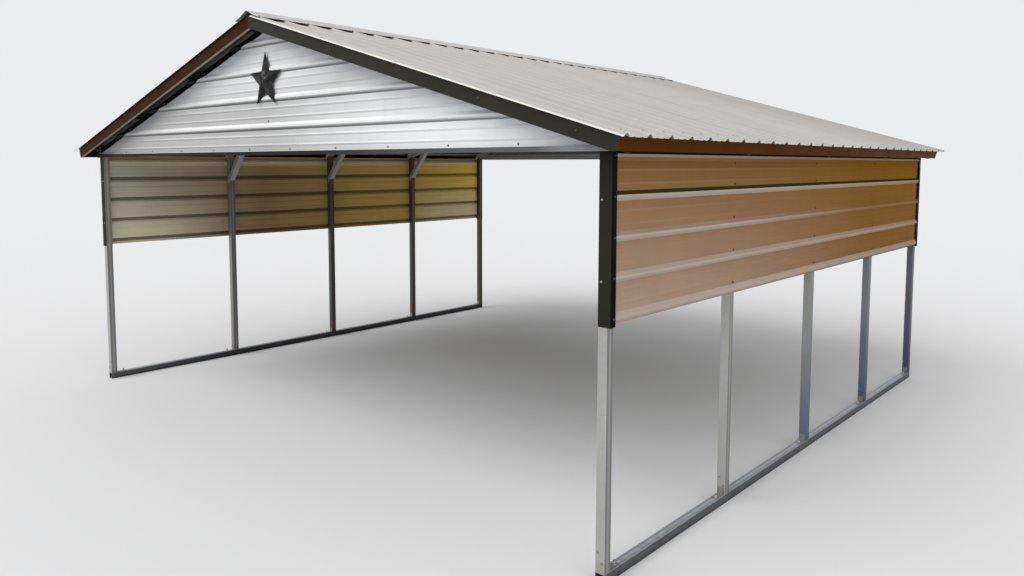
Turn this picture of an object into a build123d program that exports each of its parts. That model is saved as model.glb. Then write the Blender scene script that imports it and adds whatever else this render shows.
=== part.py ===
"""A-frame steel carport, open at both ends, with half-height side panels.

Millimetres. X runs across the carport, Y along it with the front at -Y, and Z up.
The origin is on the ground at the middle of the plan.
"""

from build123d import *

import os
from math import atan, ceil, cos, pi, sin, tan

# Frame
frame_width = 6706.0  # 22 ft over the outer faces of the posts
frame_length = 6096.0  # 20 ft over the end posts
leg_length = 2438.0  # 8 ft, outer face of a post above its rail
truss_count = 5
roof_slope = 3.5 / 12
eave_reach = 119.0  # upper corner of a rafter's tail beyond the outer face of the post
roof_overhang = 152.0  # roof beyond the end trusses, to the nearest whole rib

# Square tube
tube = 63.5
tube_wall = 2.1
tube_corner = 2.5  # flat that stands for the rounded corner

# Clearance where two pieces meet
seat = 0.2

# Anchor holes through the base rails, and the angle clips on them
anchor_hole = 14.0
anchor_gap = 80.0  # hole centre to the nearest face of the post beside it
clip_past_hole = 25.0  # end of the clip beyond the hole's centre
clip_height = 50.0
clip_width = 45.0
clip_wall = 3.0

# Knee braces and peak braces
knee_drop = 300.0  # brace's foot below the top of the post
knee_reach = 330.0  # brace's head in from the post
knee_depth = 52.0
knee_lap = 45.0  # how far the ears run over the post and the rafter
knee_wall = 2.0
peak_brace_length = 1219.0  # along its top face

# Hat channels under the roof sheets
hat_height = 38.0
hat_crown = 38.0
hat_base = 52.0
hat_flange = 22.0
hat_wall = 1.2
hat_rows = 4
hat_from_ridge = 130.0
hat_from_tail = 75.0
hat_past_rib = 14.0  # end of the channel beyond the last rib

# Ribbed sheets
sheet = 1.0
rib_pitch = 228.6
rib_height = 19.0
rib_base = 60.0
rib_crown = 14.0
minor_height = 4.0
minor_base = 26.0
cover_pitches = 4  # rib pitches that one full sheet covers
lap_gap = 0.3  # between two ribs that nest at a side lap
edge_flat = 3.0  # flat outside a sheet's last rib

# Roof edges
trim = 1.0
ridge_gap = 40.0  # ridge line to the top end of a roof sheet
ridge_cap_flange = 178.0
ridge_cap_crown = 105.0  # half width of its raised middle
ridge_cap_rise = 18.0
sheet_past_fascia = 61.0
eave_face = 90.0
eave_flange = 106.0
eave_lip = 16.0
rake_face = 94.0
rake_flange = 40.0
rake_lip = 26.0
rake_tab = 50.0

# Side panels, gable sheets and their trims
panel_pitches = 4
panel_drop = 10.0  # top edge of a side panel below the top of the posts
gable_drop = 17.0  # lowest rib of a gable sheet below the top of the posts
gable_cut = 3.0  # lower edge of the gable sheet below the middle of that rib
gable_trim_face = 30.0
gable_trim_reach = 10.0  # end of the gable's base trim beyond the post
corner_flange = 50.0
corner_drop = 14.0  # corner trim below the bottom edge of the side panel

# Star on the front gable
star_points = 5
star_radius = 235.0
star_waist = 98.0  # radius of the inner corners
star_rim = 3.0
star_height = 40.0
star_centre = 600.0  # above the lowest rib of the gable sheet

# Places worked out from the sizes
pitch = atan(roof_slope)
half_width = frame_width / 2
half_length = frame_length / 2
post_x = half_width - tube / 2
inner_x = half_width - tube
tail_x = half_width + eave_reach
post_top = tube + leg_length
truss_step = (frame_length - tube) / (truss_count - 1)
truss_y = [-half_length + tube / 2 + i * truss_step for i in range(truss_count)]
sides = {"right": 1, "left": -1}

# Heights square to the roof, above the underside of the rafters
hat_level = tube + seat
flange_level = hat_level + hat_height + seat
sheet_level = flange_level + trim + seat
cap_level = sheet_level + rib_height + lap_gap + 2 * sheet + seat

# Distances down the slope, along the underside of the rafters
tail_end = (tail_x - tube * sin(pitch)) / cos(pitch)
fascia_end = tail_end + seat + eave_lip
rake_end = fascia_end + trim + seat + trim


def roof_z(x, level=0.0):
    """Height, at x, of a line that lies so far square to the rafters' underside."""
    return post_top + (half_width - abs(x)) * roof_slope + level / cos(pitch)


def roof_plane(side, level):
    """Plane of one roof slope at a level, facing up."""
    place = (side * half_width, 0, roof_z(half_width, level))
    return Plane(origin=place, z_dir=(side * sin(pitch), 0, cos(pitch)))


def down_slope(level):
    """Plane at the ridge: x to the back, y square to the right slope, z down it."""
    return Plane(
        origin=(0, 0, roof_z(0, level)),
        x_dir=(0, 1, 0),
        z_dir=(cos(pitch), 0, -sin(pitch)),
    )


def across_slope(level):
    """Plane seen from the front: x down the right slope, y square to it."""
    return Plane(
        origin=(0, 0, roof_z(0, level)),
        x_dir=(cos(pitch), 0, -sin(pitch)),
        z_dir=(0, -1, 0),
    )


def cut_to_roof(level):
    """Keep what lies under both roof slopes at a level."""
    for side in sides.values():
        split(bisect_by=roof_plane(side, level), keep=Keep.BOTTOM)


def tube_section(*places):
    """Square tube's section at each place of a sketch."""
    bore = tube - 2 * tube_wall
    with Locations(*places):
        Rectangle(tube, tube)
    chamfer(vertices(), tube_corner)
    with Locations(*places):
        Rectangle(bore, bore, mode=Mode.SUBTRACT)


def folded_section(points, wall, side=Side.LEFT):
    """Section of folded metal with one face on the points and its wall to one side."""
    with BuildSketch() as section:
        with BuildLine():
            Polyline(*points)
            offset(amount=wall, side=side, kind=Kind.INTERSECTION)
        make_face()
    return section.sketch


def slope_band(start, end, low, high):
    """Corners of a strip along the slope, with square ends."""
    return [(start, low), (end, low), (end, high), (start, high)]


def rib(centre, base, crown, height):
    """Four corners of a rib's underside."""
    return [
        (centre - base / 2, 0),
        (centre - crown / 2, height),
        (centre + crown / 2, height),
        (centre + base / 2, 0),
    ]


def bead(centre):
    """Three corners of a minor rib's underside."""
    return [
        (centre - minor_base / 2, 0),
        (centre, minor_height),
        (centre + minor_base / 2, 0),
    ]


def last_rib(centre, edge):
    """Corners of the rib at a sheet's far edge.

    The edge is "flat" with a flat beyond the rib, "under" where the next sheet laps over
    it, or "over" where it laps over the next sheet.
    """
    corners = rib(centre, rib_base, rib_crown, rib_height)
    if edge == "flat":
        return corners + [(corners[-1][0] + edge_flat, 0)]
    if edge == "under":
        return corners
    grow = sheet + lap_gap
    flank = atan(rib_height / ((rib_base - rib_crown) / 2))
    base = rib_base + 2 * grow / sin(flank)
    crown = rib_crown + 2 * grow * tan(flank / 2)
    lip = sheet + 2 * lap_gap
    corners = rib(centre, base, crown, rib_height + grow)
    return corners[:3] + [(corners[3][0] - lip / tan(flank), lip)]


def first_rib(centre, edge):
    """The same at a sheet's near edge."""
    return [(2 * centre - x, y) for x, y in reversed(last_rib(centre, edge))]


def sheet_points(start, pitches, near_edge, far_edge):
    """Underside of a ribbed sheet, with two minor ribs between each two major ones."""
    points = first_rib(start, near_edge)
    for bay in range(pitches):
        rib_x = start + bay * rib_pitch
        for share in (1 / 3, 2 / 3):
            points += bead(rib_x + share * rib_pitch)
        if bay < pitches - 1:
            points += rib(rib_x + rib_pitch, rib_base, rib_crown, rib_height)
    return points + last_rib(start + pitches * rib_pitch, far_edge)


def write_part(piece, label):
    """Name a finished piece and write its file."""
    piece.part.label = label
    export_step(piece.part, f"parts/{label}.step")


def write_mirrored(piece, about, label):
    """Write the mirror image of a finished piece."""
    with BuildPart() as twin:
        mirror(piece.part, about=about)
    write_part(twin, label)
    return twin


def write_both_sides(piece, name):
    """Write a piece of the right side and its mirror image on the left."""
    write_part(piece, f"{name}_right")
    return write_mirrored(piece, Plane.YZ, f"{name}_left")


def write_both_ends(piece, name):
    """Write a piece of the front and its mirror image at the back."""
    write_part(piece, f"{name}_front")
    return write_mirrored(piece, Plane.XZ, f"{name}_back")


def write_four_corners(piece, name):
    """Write a piece of the front right corner and its three mirror images."""
    front_left = write_both_sides(piece, f"{name}_front")
    write_mirrored(piece, Plane.XZ, f"{name}_back_right")
    write_mirrored(front_left, Plane.XZ, f"{name}_back_left")


os.makedirs("parts", exist_ok=True)

# Base rails, open at their ends, with an anchor hole beside each post

anchor_ways = [1] + [-1] * (truss_count - 1)
anchor_y = [y + way * (tube / 2 + anchor_gap) for y, way in zip(truss_y, anchor_ways)]

with BuildPart() as base_rail:
    with BuildSketch(Plane.XZ):
        tube_section((post_x, tube / 2))
    extrude(amount=half_length, both=True)
    with BuildSketch(Plane.XY):
        with Locations(*[(post_x, y) for y in anchor_y]):
            Circle(anchor_hole / 2)
    extrude(amount=tube, mode=Mode.SUBTRACT)
write_both_sides(base_rail, "base_rail")

# Anchor clips, bent angles on the rail and against the post

with BuildPart() as anchor_clips:
    for y, way in zip(truss_y, anchor_ways):
        face_y = y + way * (tube / 2 + seat)
        clip_points = [
            (face_y + way * (anchor_gap + clip_past_hole), tube + seat),
            (face_y, tube + seat),
            (face_y, tube + seat + clip_height),
        ]
        inside = Side.RIGHT if way > 0 else Side.LEFT
        with BuildSketch(Plane.YZ.offset(post_x)):
            add(folded_section(clip_points, clip_wall, inside))
        extrude(amount=clip_width / 2, both=True)
    with BuildSketch(Plane.XY.offset(tube)):
        with Locations(*[(post_x, y) for y in anchor_y]):
            Circle(anchor_hole / 2)
    extrude(amount=clip_height, mode=Mode.SUBTRACT)
write_both_sides(anchor_clips, "anchor_clips")

# Posts, cut to the slope of the rafters

for side_name, side in sides.items():
    for number, y in enumerate(truss_y, start=1):
        with BuildPart() as post:
            with BuildSketch(Plane.XY.offset(tube + seat)):
                tube_section((side * post_x, y))
            extrude(amount=leg_length + tube)
            split(bisect_by=roof_plane(side, -seat), keep=Keep.BOTTOM)
        write_part(post, f"post_{side_name}_{number}")

# Rafters, with a plumb joint under the ridge and square tails

with BuildPart() as rafters:
    with BuildSketch(down_slope(0).offset(-tube)):
        tube_section(*[(y, tube / 2) for y in truss_y])
    extrude(amount=tube + tail_end)
    split(bisect_by=Plane.YZ.offset(seat / 2), keep=Keep.TOP)
write_both_sides(rafters, "rafters")

# Level braces under the ridge of the inner trusses

peak_brace_top = roof_z(peak_brace_length / 2)

with BuildPart() as peak_braces:
    with BuildSketch(Plane.YZ):
        tube_section(*[(y, peak_brace_top - tube / 2) for y in truss_y[1:-1]])
    extrude(amount=peak_brace_length / 2 + tube / roof_slope, both=True)
    cut_to_roof(-seat)
write_part(peak_braces, "peak_braces")

# Knee braces, channels whose two ears run over the faces of post and rafter

knee_foot_z = post_top - knee_drop
knee_head_z = roof_z(inner_x - knee_reach)
knee_slope = (knee_head_z - knee_foot_z) / knee_reach
knee_half = tube / 2 + seat + knee_wall


def knee_z(x, depth):
    """Height, at x, of a line that lies so deep in the brace, from its room side."""
    return knee_foot_z + (inner_x - x) * knee_slope + depth / cos(atan(knee_slope))


def knee_corners(lap, depth):
    """Corners of the brace's side, run past the faces of post and rafter by the lap."""
    foot_x = inner_x + lap
    rafter_z = roof_z(inner_x, lap)
    climb = knee_slope - roof_slope
    low_x = inner_x - (rafter_z - knee_z(inner_x, 0)) / climb
    high_x = inner_x - (rafter_z - knee_z(inner_x, depth)) / climb
    return [
        (foot_x, knee_z(foot_x, 0)),
        (foot_x, knee_z(foot_x, depth)),
        (high_x, knee_z(high_x, depth)),
        (low_x, knee_z(low_x, 0)),
    ]


with BuildPart() as knee_braces:
    for y in truss_y[1:-1]:
        for ear_y in (y - knee_half, y + knee_half - knee_wall):
            with BuildSketch(Plane.XZ.offset(-ear_y)):
                Polygon(*knee_corners(knee_lap, knee_depth))
            extrude(amount=-knee_wall)
        with BuildSketch(Plane.XZ.offset(-y)):
            Polygon(*knee_corners(-seat, knee_wall))
        extrude(amount=knee_half, both=True)
write_both_sides(knee_braces, "knee_braces")

# Gable headers between the end posts, and a stud from each up to the ridge

with BuildPart() as gable_header:
    with BuildSketch(Plane.YZ):
        tube_section((truss_y[0], post_top + tube / 2))
    extrude(amount=inner_x - seat, both=True)
    cut_to_roof(-seat)
write_both_ends(gable_header, "gable_header")

with BuildPart() as gable_stud:
    with BuildSketch(Plane.XY.offset(post_top + tube + seat)):
        tube_section((0, truss_y[0]))
    extrude(amount=half_width * roof_slope)
    cut_to_roof(-seat)
write_both_ends(gable_stud, "gable_stud")

# Hat channels across the rafters

ridge_pitches = round((frame_length + 2 * roof_overhang) / rib_pitch)
last_rib_y = ridge_pitches * rib_pitch / 2
hat_end_y = last_rib_y + hat_past_rib
hat_last = tail_x / cos(pitch) - hat_from_tail
hat_step = (hat_last - hat_from_ridge) / (hat_rows - 1)

with BuildPart() as hat_channels:
    with BuildSketch(across_slope(hat_level)):
        for row in range(hat_rows):
            centre = hat_from_ridge + row * hat_step
            edge = hat_base / 2 + hat_flange
            hat_points = [(centre - edge, 0)]
            hat_points += rib(centre, hat_base, hat_crown, hat_height - hat_wall)
            hat_points += [(centre + edge, 0)]
            add(folded_section(hat_points, hat_wall))
    extrude(amount=hat_end_y, both=True)
write_both_sides(hat_channels, "hat_channels")

# Roof sheets, ribbed from ridge to eave, each lapping over the first rib of the next

fascia_x = fascia_end * cos(pitch) + flange_level * sin(pitch)
sheet_top = ridge_gap / cos(pitch)
sheet_end = (fascia_x + trim + sheet_past_fascia) / cos(pitch)
roof_sheet_count = ceil(ridge_pitches / cover_pitches)

with BuildPart() as roof_sheets:
    with BuildSketch(down_slope(sheet_level).offset(sheet_top)):
        for number in range(roof_sheet_count):
            start = number * cover_pitches
            pitches = min(cover_pitches, ridge_pitches - start)
            near_edge = "flat" if number == 0 else "under"
            far_edge = "flat" if number == roof_sheet_count - 1 else "over"
            start_y = start * rib_pitch - last_rib_y
            add(folded_section(sheet_points(start_y, pitches, near_edge, far_edge), sheet))
    extrude(amount=sheet_end - sheet_top)
write_both_sides(roof_sheets, "roof_sheets")

# Ridge cap, its flanges on the ribs and its middle raised

cap_x = ridge_cap_flange * cos(pitch)
cap_side = [(x, roof_z(x, cap_level)) for x in (ridge_cap_crown, cap_x)]
cap_points = [(-x, z) for x, z in reversed(cap_side)]
cap_points += [(0, roof_z(0, cap_level) + ridge_cap_rise)] + cap_side

with BuildPart() as ridge_cap:
    with BuildSketch(Plane.XZ):
        add(folded_section(cap_points, trim))
    extrude(amount=last_rib_y + rib_base / 2 + edge_flat, both=True)
write_part(ridge_cap, "ridge_cap")

# Eave trims over the ends of the rafters, square to the slope

with BuildPart() as eave_trim:
    with BuildSketch(across_slope(0)):
        eave_points = [
            (fascia_end - eave_flange, flange_level),
            (fascia_end, flange_level),
            (fascia_end, flange_level - eave_face),
            (fascia_end - eave_lip, flange_level - eave_face),
        ]
        add(folded_section(eave_points, trim))
    extrude(amount=hat_end_y, both=True)
write_both_sides(eave_trim, "eave_trim")

# Rake trims up the gables, each with a tab round the end of the eave trim

rake_start = -rake_face  # short of the ridge, where the pair is cut plumb
rake_high = flange_level + trim
rake_low = rake_high - rake_face
rake_plane = across_slope(0).offset(hat_end_y + seat)

with BuildPart() as rake_trim:
    with BuildSketch(rake_plane):
        Polygon(*slope_band(rake_start, rake_end, rake_low, rake_high))
    extrude(amount=trim)
    with BuildSketch(rake_plane):
        flange_end = fascia_end - eave_flange - seat
        Polygon(*slope_band(rake_start, flange_end, flange_level, rake_high))
    extrude(amount=-rake_flange)
    with BuildSketch(rake_plane):
        lip_end = fascia_end - eave_lip - seat
        Polygon(*slope_band(rake_start, lip_end, rake_low, rake_low + trim))
    extrude(amount=-rake_lip)
    with BuildSketch(rake_plane):
        Polygon(*slope_band(rake_end - trim, rake_end, rake_low, rake_high))
    extrude(amount=-rake_tab)
    split(bisect_by=Plane.YZ.offset(seat / 2), keep=Keep.TOP)
write_four_corners(rake_trim, "rake_trim")

# Side panels, one sheet high with level ribs, on the outside of the posts

panel_x = half_width + seat
panel_top = post_top - panel_drop
panel_top_rib = panel_top - rib_base / 2 - edge_flat
panel_start = panel_top_rib - panel_pitches * rib_pitch

with BuildPart() as side_panel:
    with BuildSketch(Plane(origin=(panel_x, 0, 0), x_dir=(0, 0, 1), z_dir=(0, 1, 0))):
        add(folded_section(sheet_points(panel_start, panel_pitches, "flat", "flat"), sheet))
    extrude(amount=half_length, both=True)
write_both_sides(side_panel, "side_panel")

# Gable sheets with level ribs, each lapping over the sheet below

gable_y = -half_length - seat
gable_start = post_top - gable_drop
gable_bottom = gable_start - gable_cut
gable_height = roof_z(0, tube) - gable_start
gable_sheet_count = ceil(gable_height / (cover_pitches * rib_pitch))

with BuildPart() as gable_sheets:
    with BuildSketch(Plane(origin=(0, gable_y, 0), x_dir=(0, 0, 1), z_dir=(1, 0, 0))):
        for number in range(gable_sheet_count):
            near_edge = "flat" if number == 0 else "over"
            start_z = gable_start + number * cover_pitches * rib_pitch
            add(folded_section(sheet_points(start_z, cover_pitches, near_edge, "under"), sheet))
    extrude(amount=half_width, both=True)
    split(bisect_by=Plane.XY.offset(gable_bottom), keep=Keep.TOP)
    cut_to_roof(tube - seat)
write_both_ends(gable_sheets, "gable_sheets")

# Trims along the bottom of the gable sheets

gable_trim_y = gable_y - rib_height - sheet - seat
gable_trim_z = gable_bottom - seat

with BuildPart() as gable_base_trim:
    with BuildSketch(Plane.YZ):
        base_points = [
            (gable_y, gable_trim_z),
            (gable_trim_y, gable_trim_z),
            (gable_trim_y, gable_trim_z + gable_trim_face),
        ]
        add(folded_section(base_points, trim))
    extrude(amount=half_width + gable_trim_reach, both=True)
write_both_ends(gable_base_trim, "gable_base_trim")

# Corner trims over the end posts and the ends of the side panels, with their front
# flange cut off under the gable's base trim and their side flange as high as the panel

corner_x = panel_x + rib_height + sheet + seat
corner_bottom = panel_start - rib_base / 2 - edge_flat - corner_drop
corner_top = gable_trim_z - trim - seat

with BuildPart() as corner_trim:
    with BuildSketch(Plane.XY.offset(corner_bottom)):
        corner_points = [
            (inner_x, gable_y),
            (corner_x, gable_y),
            (corner_x, gable_y + corner_flange),
        ]
        add(folded_section(corner_points, trim, Side.RIGHT))
    extrude(amount=panel_top - corner_bottom)
    with BuildSketch(Plane.XY.offset(corner_top)):
        with Locations((post_x, gable_y)):
            Rectangle(2 * (corner_x - post_x), 2 * corner_flange)
    extrude(amount=panel_top - corner_top, mode=Mode.SUBTRACT)
write_four_corners(corner_trim, "corner_trim")

# Five-pointed star resting on the ribs of the front gable

star_z = gable_start + star_centre
star_plane = Plane(
    origin=(0, gable_trim_y, star_z), x_dir=(1, 0, 0), z_dir=(0, -1, 0)
)
star_corners = []
for corner in range(2 * star_points):
    radius = star_radius if corner % 2 == 0 else star_waist
    turn = pi / 2 + corner * pi / star_points
    star_corners.append((radius * cos(turn), radius * sin(turn)))

with BuildPart() as gable_star:
    with BuildSketch(star_plane):
        Polygon(*star_corners)
    extrude(amount=star_rim)
    front_face = gable_star.faces().sort_by(Axis.Y)[0]
    tip = Vertex(0, gable_trim_y - star_height, star_z)
    loft(sections=[front_face, tip], ruled=True)
write_part(gable_star, "gable_star")
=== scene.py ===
"""Looks of an A-frame steel carport: its finishes, fasteners and welds, and a plain studio.

Metres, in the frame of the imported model: X to the right, Y to the back, Z up.
"""

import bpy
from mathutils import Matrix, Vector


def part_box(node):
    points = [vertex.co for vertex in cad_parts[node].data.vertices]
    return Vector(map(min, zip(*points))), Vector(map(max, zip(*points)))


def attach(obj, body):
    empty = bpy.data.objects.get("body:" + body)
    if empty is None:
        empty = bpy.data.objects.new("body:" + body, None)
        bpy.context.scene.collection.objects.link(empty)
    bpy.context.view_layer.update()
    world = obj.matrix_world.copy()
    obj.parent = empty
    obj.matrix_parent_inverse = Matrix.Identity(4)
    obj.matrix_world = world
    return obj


bl_info = {
    "name": "Steel Carport Finishes",
    "version": (1, 0, 0),
    "blender": (4, 5, 0),
    "location": "3D View > Sidebar > Carport",
    "description": "Dresses a steel carport with its coatings, screws, anchors and welds",
    "category": "Object",
}

from math import atan, cos, pi, radians, sin, sqrt

import bpy
from bpy.props import (
    FloatProperty,
    FloatVectorProperty,
    IntProperty,
    PointerProperty,
)
from mathutils import Euler, Matrix, Vector

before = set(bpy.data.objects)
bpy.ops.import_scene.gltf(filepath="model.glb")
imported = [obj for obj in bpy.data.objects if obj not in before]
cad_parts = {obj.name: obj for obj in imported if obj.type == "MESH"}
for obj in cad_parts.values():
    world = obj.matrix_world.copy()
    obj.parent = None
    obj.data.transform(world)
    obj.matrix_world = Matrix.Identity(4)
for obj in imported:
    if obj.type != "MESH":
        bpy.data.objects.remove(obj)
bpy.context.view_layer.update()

# Sizes of the construction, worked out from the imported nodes

roof_slope = 3.5 / 12
pitch = atan(roof_slope)
wall = 0.001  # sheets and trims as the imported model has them
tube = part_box("base_rail_right")[1].z
half_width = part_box("base_rail_right")[1].x
half_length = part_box("base_rail_right")[1].y
post_x = half_width - tube / 2
inner_x = half_width - tube
post_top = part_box("gable_header_front")[0].z
post_count = sum(name.startswith("post_right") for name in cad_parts)
truss_step = (2 * half_length - tube) / (post_count - 1)
truss_y = [-half_length + tube / 2 + i * truss_step for i in range(post_count)]

# Ribbed sheets

rib_pitch = 0.2286
rib_base = 0.060
edge_flat = 0.003
beside_rib = 0.044  # rib's middle to the screw on the flat beside it
last_rib_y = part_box("ridge_cap")[1].y - rib_base / 2 - edge_flat
roof_pitches = round(2 * last_rib_y / rib_pitch)
panel_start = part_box("side_panel_right")[0].z + rib_base / 2 + edge_flat
panel_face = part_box("side_panel_right")[0].x + wall
panel_pitches = 4
panel_top_rib = panel_start + panel_pitches * rib_pitch
gable_cut = 0.003  # gable sheet below the middle of its first rib
gable_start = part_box("gable_sheets_front")[0].z + gable_cut
gable_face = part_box("gable_sheets_front")[1].y - wall

# Heights square to the roof, above the rafters' underside

rake_face = 0.094
ridge_z = post_top + half_width * roof_slope
rake_high_level = (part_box("rake_trim_front_right")[1].z - ridge_z) * cos(pitch)
rake_middle_level = rake_high_level - rake_face / 2
sheet_over_rake = 0.0012
cap_over_sheet = 0.0215
sheet_face_level = rake_high_level + sheet_over_rake
cap_face_level = sheet_face_level + cap_over_sheet
fascia_face = 0.091
fascia_far = (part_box("eave_trim_right")[1].x - rake_high_level * sin(pitch)) / cos(pitch)

# Rows of hat channel, down the slope from the ridge

hat_rows = 4
hat_from_ridge = 0.130
hat_from_tail = 0.075
eave_reach = 0.119  # upper corner of a rafter's tail beyond the post
hat_last = (half_width + eave_reach) / cos(pitch) - hat_from_tail
hat_step = (hat_last - hat_from_ridge) / (hat_rows - 1)

# Anchor holes

anchor_gap = 0.080  # from a post's face to the hole's middle
clip_thickness = 0.003
anchor_y = [truss_y[0] + tube / 2 + anchor_gap] + [y - tube / 2 - anchor_gap for y in truss_y[1:]]
clip_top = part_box("anchor_clips_right")[0].z + clip_thickness

SIDES = (1, -1)


def roof_z(x, level=0.0):
    """Height, at x, of a line that lies so far square to the rafters' underside."""
    return post_top + (half_width - abs(x)) * roof_slope + level / cos(pitch)


def roof_up(side):
    """Direction square to one roof slope."""
    return (side * sin(pitch), 0, cos(pitch))


def on_slope(distance, level):
    """Right slope's x and z, so far down it and so far square to it."""
    x = distance * cos(pitch) + level * sin(pitch)
    return x, ridge_z - distance * sin(pitch) + level * cos(pitch)


# Settings


def colour_setting(name, description, default):
    """A colour that the sidebar shows."""
    return FloatVectorProperty(
        name=name, description=description, default=default, subtype="COLOR", size=3, min=0, max=1
    )


def length_setting(name, description, default):
    """A length that the sidebar shows."""
    return FloatProperty(
        name=name, description=description, default=default, min=0, unit="LENGTH", precision=4
    )


def share_setting(name, description, default):
    """A share from 0 to 1 that the sidebar shows."""
    return FloatProperty(
        name=name, description=description, default=default, min=0, max=1, subtype="FACTOR"
    )


class CARPORT_PG_finishes(bpy.types.PropertyGroup):
    """Colours of the coatings, the painted light and shade on them, and how weathered they are"""

    zinc: colour_setting("Zinc", "Galvanised tube", (0.42, 0.42, 0.395))
    rail_zinc: colour_setting("Rail zinc", "Galvanised base rail", (0.35, 0.38, 0.43))
    channel: colour_setting("Channel", "Galvanised channel and braces", (0.30, 0.30, 0.29))
    roof: colour_setting("Roof", "Upper face of the roof sheets", (0.49, 0.47, 0.455))
    # Painted shade: the backer colour is darkened, as the roof's underside lies in shade.
    backer: colour_setting("Backer", "Underside of the roof sheets", (0.085, 0.082, 0.077))
    # Painted reflection: the outer face's pale foot, its pale crowns and flanks, and its olive flanks.
    panel: colour_setting("Panel", "Outer face of a side panel at its top", (0.283, 0.135, 0.037))
    panel_low: colour_setting("Panel low", "Outer face of a side panel at its foot", (0.507, 0.36, 0.277))
    panel_far: colour_setting("Panel far", "Outer face at the back, at its top", (0.262, 0.124, 0.017))
    panel_far_low: colour_setting("Panel far low", "The same at its foot", (0.272, 0.130, 0.048))
    # Painted reflection on the rib crowns and flanks
    panel_pale_reflection: colour_setting("Panel pale", "Chalked crowns and flanks of the ribs", (0.52, 0.44, 0.38))
    panel_olive_reflection: colour_setting("Panel olive", "Flank over an upper rib", (0.055, 0.043, 0.010))
    # Painted light: the inner face's tones along the carport and at its foot.
    inner: colour_setting("Inner", "Inner face of a side panel at the front", (0.59, 0.53, 0.43))
    inner_middle: colour_setting("Inner middle", "Inner face in the middle", (0.37, 0.25, 0.115))
    inner_far: colour_setting("Inner far", "Inner face at the back", (1.0, 0.68, 0.14))
    inner_low: colour_setting("Inner low", "Inner face at the foot of both ends", (0.82, 0.74, 0.52))
    # Painted light: the gable's outer face darker on the left and lighter towards the right and the ridge.
    gable: colour_setting("Gable", "Outer face of the gable sheets", (0.51, 0.51, 0.51))
    gable_lit: colour_setting("Gable right", "The same towards the right and the ridge", (0.93, 0.95, 0.96))
    gable_back: colour_setting("Gable back", "Inner face of the gable sheets", (0.40, 0.39, 0.36))
    charcoal: colour_setting("Charcoal", "Trims at the corners and the right rakes", (0.022, 0.021, 0.017))
    brown: colour_setting("Brown", "Trims at the eaves", (0.095, 0.030, 0.002))
    dark_brown: colour_setting("Dark brown", "Trims on the left rakes", (0.040, 0.0165, 0.009))
    # Painted reflection: the lip's pale colour.
    lip: colour_setting("Lip", "Lower lip of the rake trims", (0.30, 0.275, 0.225))
    star: colour_setting("Star", "Cast star on the front gable", (0.010, 0.0095, 0.009))
    dust: share_setting("Dust", "How much dust lies on what faces up", 0.35)
    dirt_height: length_setting("Dirt height", "How high splashed dirt reaches on the posts", 0.16)


class CARPORT_PG_fasteners(bpy.types.PropertyGroup):
    """Sizes of the screws, anchors and welds"""

    head_across: length_setting("Head", "Screw head across its flats", 0.0085)
    head_height: length_setting("Head height", "Height of the screw head", 0.0050)
    washer_across: length_setting("Washer", "Diameter of the sealing washer", 0.0150)
    washer_height: length_setting("Washer height", "Thickness of the sealing washer", 0.0022)
    screw_seed: IntProperty(name="Seed", description="Turns each screw head differently", default=7, min=0)
    nut_across: length_setting("Nut", "Anchor nut across its flats", 0.019)
    nut_height: length_setting("Nut height", "Height of the anchor nut", 0.0105)
    stud_across: length_setting("Stud", "Diameter of the anchor stud", 0.012)
    stud_height: length_setting("Stud height", "Stud above the clip", 0.026)
    bead_width: length_setting("Weld bead", "Width of a weld bead", 0.0070)
    ripple_step: length_setting("Weld ripple", "Distance between two ripples of a bead", 0.0026)


class CARPORT_PG_studio(bpy.types.PropertyGroup):
    """Floor, backdrop, lamps and camera"""

    floor: colour_setting("Floor", "Studio floor", (0.80, 0.80, 0.81))
    floor_bounce: colour_setting("Floor bounce", "What the floor throws back as light", (0.62, 0.62, 0.62))
    backdrop: colour_setting("Backdrop", "Studio background", (0.83, 0.84, 0.86))
    room_light: FloatProperty(name="Room light", description="Even light of the room", default=0.50, min=0)
    key_light: FloatProperty(name="Key light", description="Soft lamp at the front", default=1.9, min=0)
    fill_light: FloatProperty(name="Fill light", description="Softer lamp at the right", default=0.65, min=0)
    camera_place: FloatVectorProperty(
        name="Camera",
        description="Place of the camera",
        default=(5.8412, -6.7329, 2.4069),
        subtype="XYZ",
        unit="LENGTH",
    )
    camera_yaw: FloatProperty(
        name="Yaw",
        description="Camera turned to the left of straight back",
        default=radians(41.812),
        subtype="ANGLE",
    )
    camera_tilt: FloatProperty(
        name="Tilt", description="Camera tilted up", default=radians(-4.666), subtype="ANGLE"
    )
    camera_roll: FloatProperty(
        name="Roll", description="Camera rolled to its left", default=radians(0.071), subtype="ANGLE"
    )
    image_width: IntProperty(
        name="Image width", description="Pixels across", default=1024, min=1, subtype="PIXEL"
    )
    image_height: IntProperty(
        name="Image height", description="Pixels down", default=576, min=1, subtype="PIXEL"
    )
    focal_pixels: FloatProperty(
        name="Focal length", description="Focal length in pixels of the image", default=801.2, subtype="PIXEL"
    )
    centre_across: FloatProperty(
        name="Centre across",
        description="Camera's axis from the image's left edge",
        default=499.28,
        subtype="PIXEL",
    )
    centre_down: FloatProperty(
        name="Centre down",
        description="Camera's axis from the image's top edge",
        default=229.64,
        subtype="PIXEL",
    )


EVEN = (1, 1, 1)  # for noise that looks the same along every axis

# Colours that belong to a finish, and colours of painted light and shade

DUST = (0.56, 0.54, 0.50)
DARK_DUST = (0.30, 0.29, 0.27)
DRIED_MUD = (0.20, 0.175, 0.145)
# Painted light near the soffit's outer edge
SOFFIT_EDGE_LIGHT = (0.075, 0.070, 0.060)
# Reddish painted light on the left slope's outer edge
LEFT_EDGE_LIGHT = (0.31, 0.28, 0.27)
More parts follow.
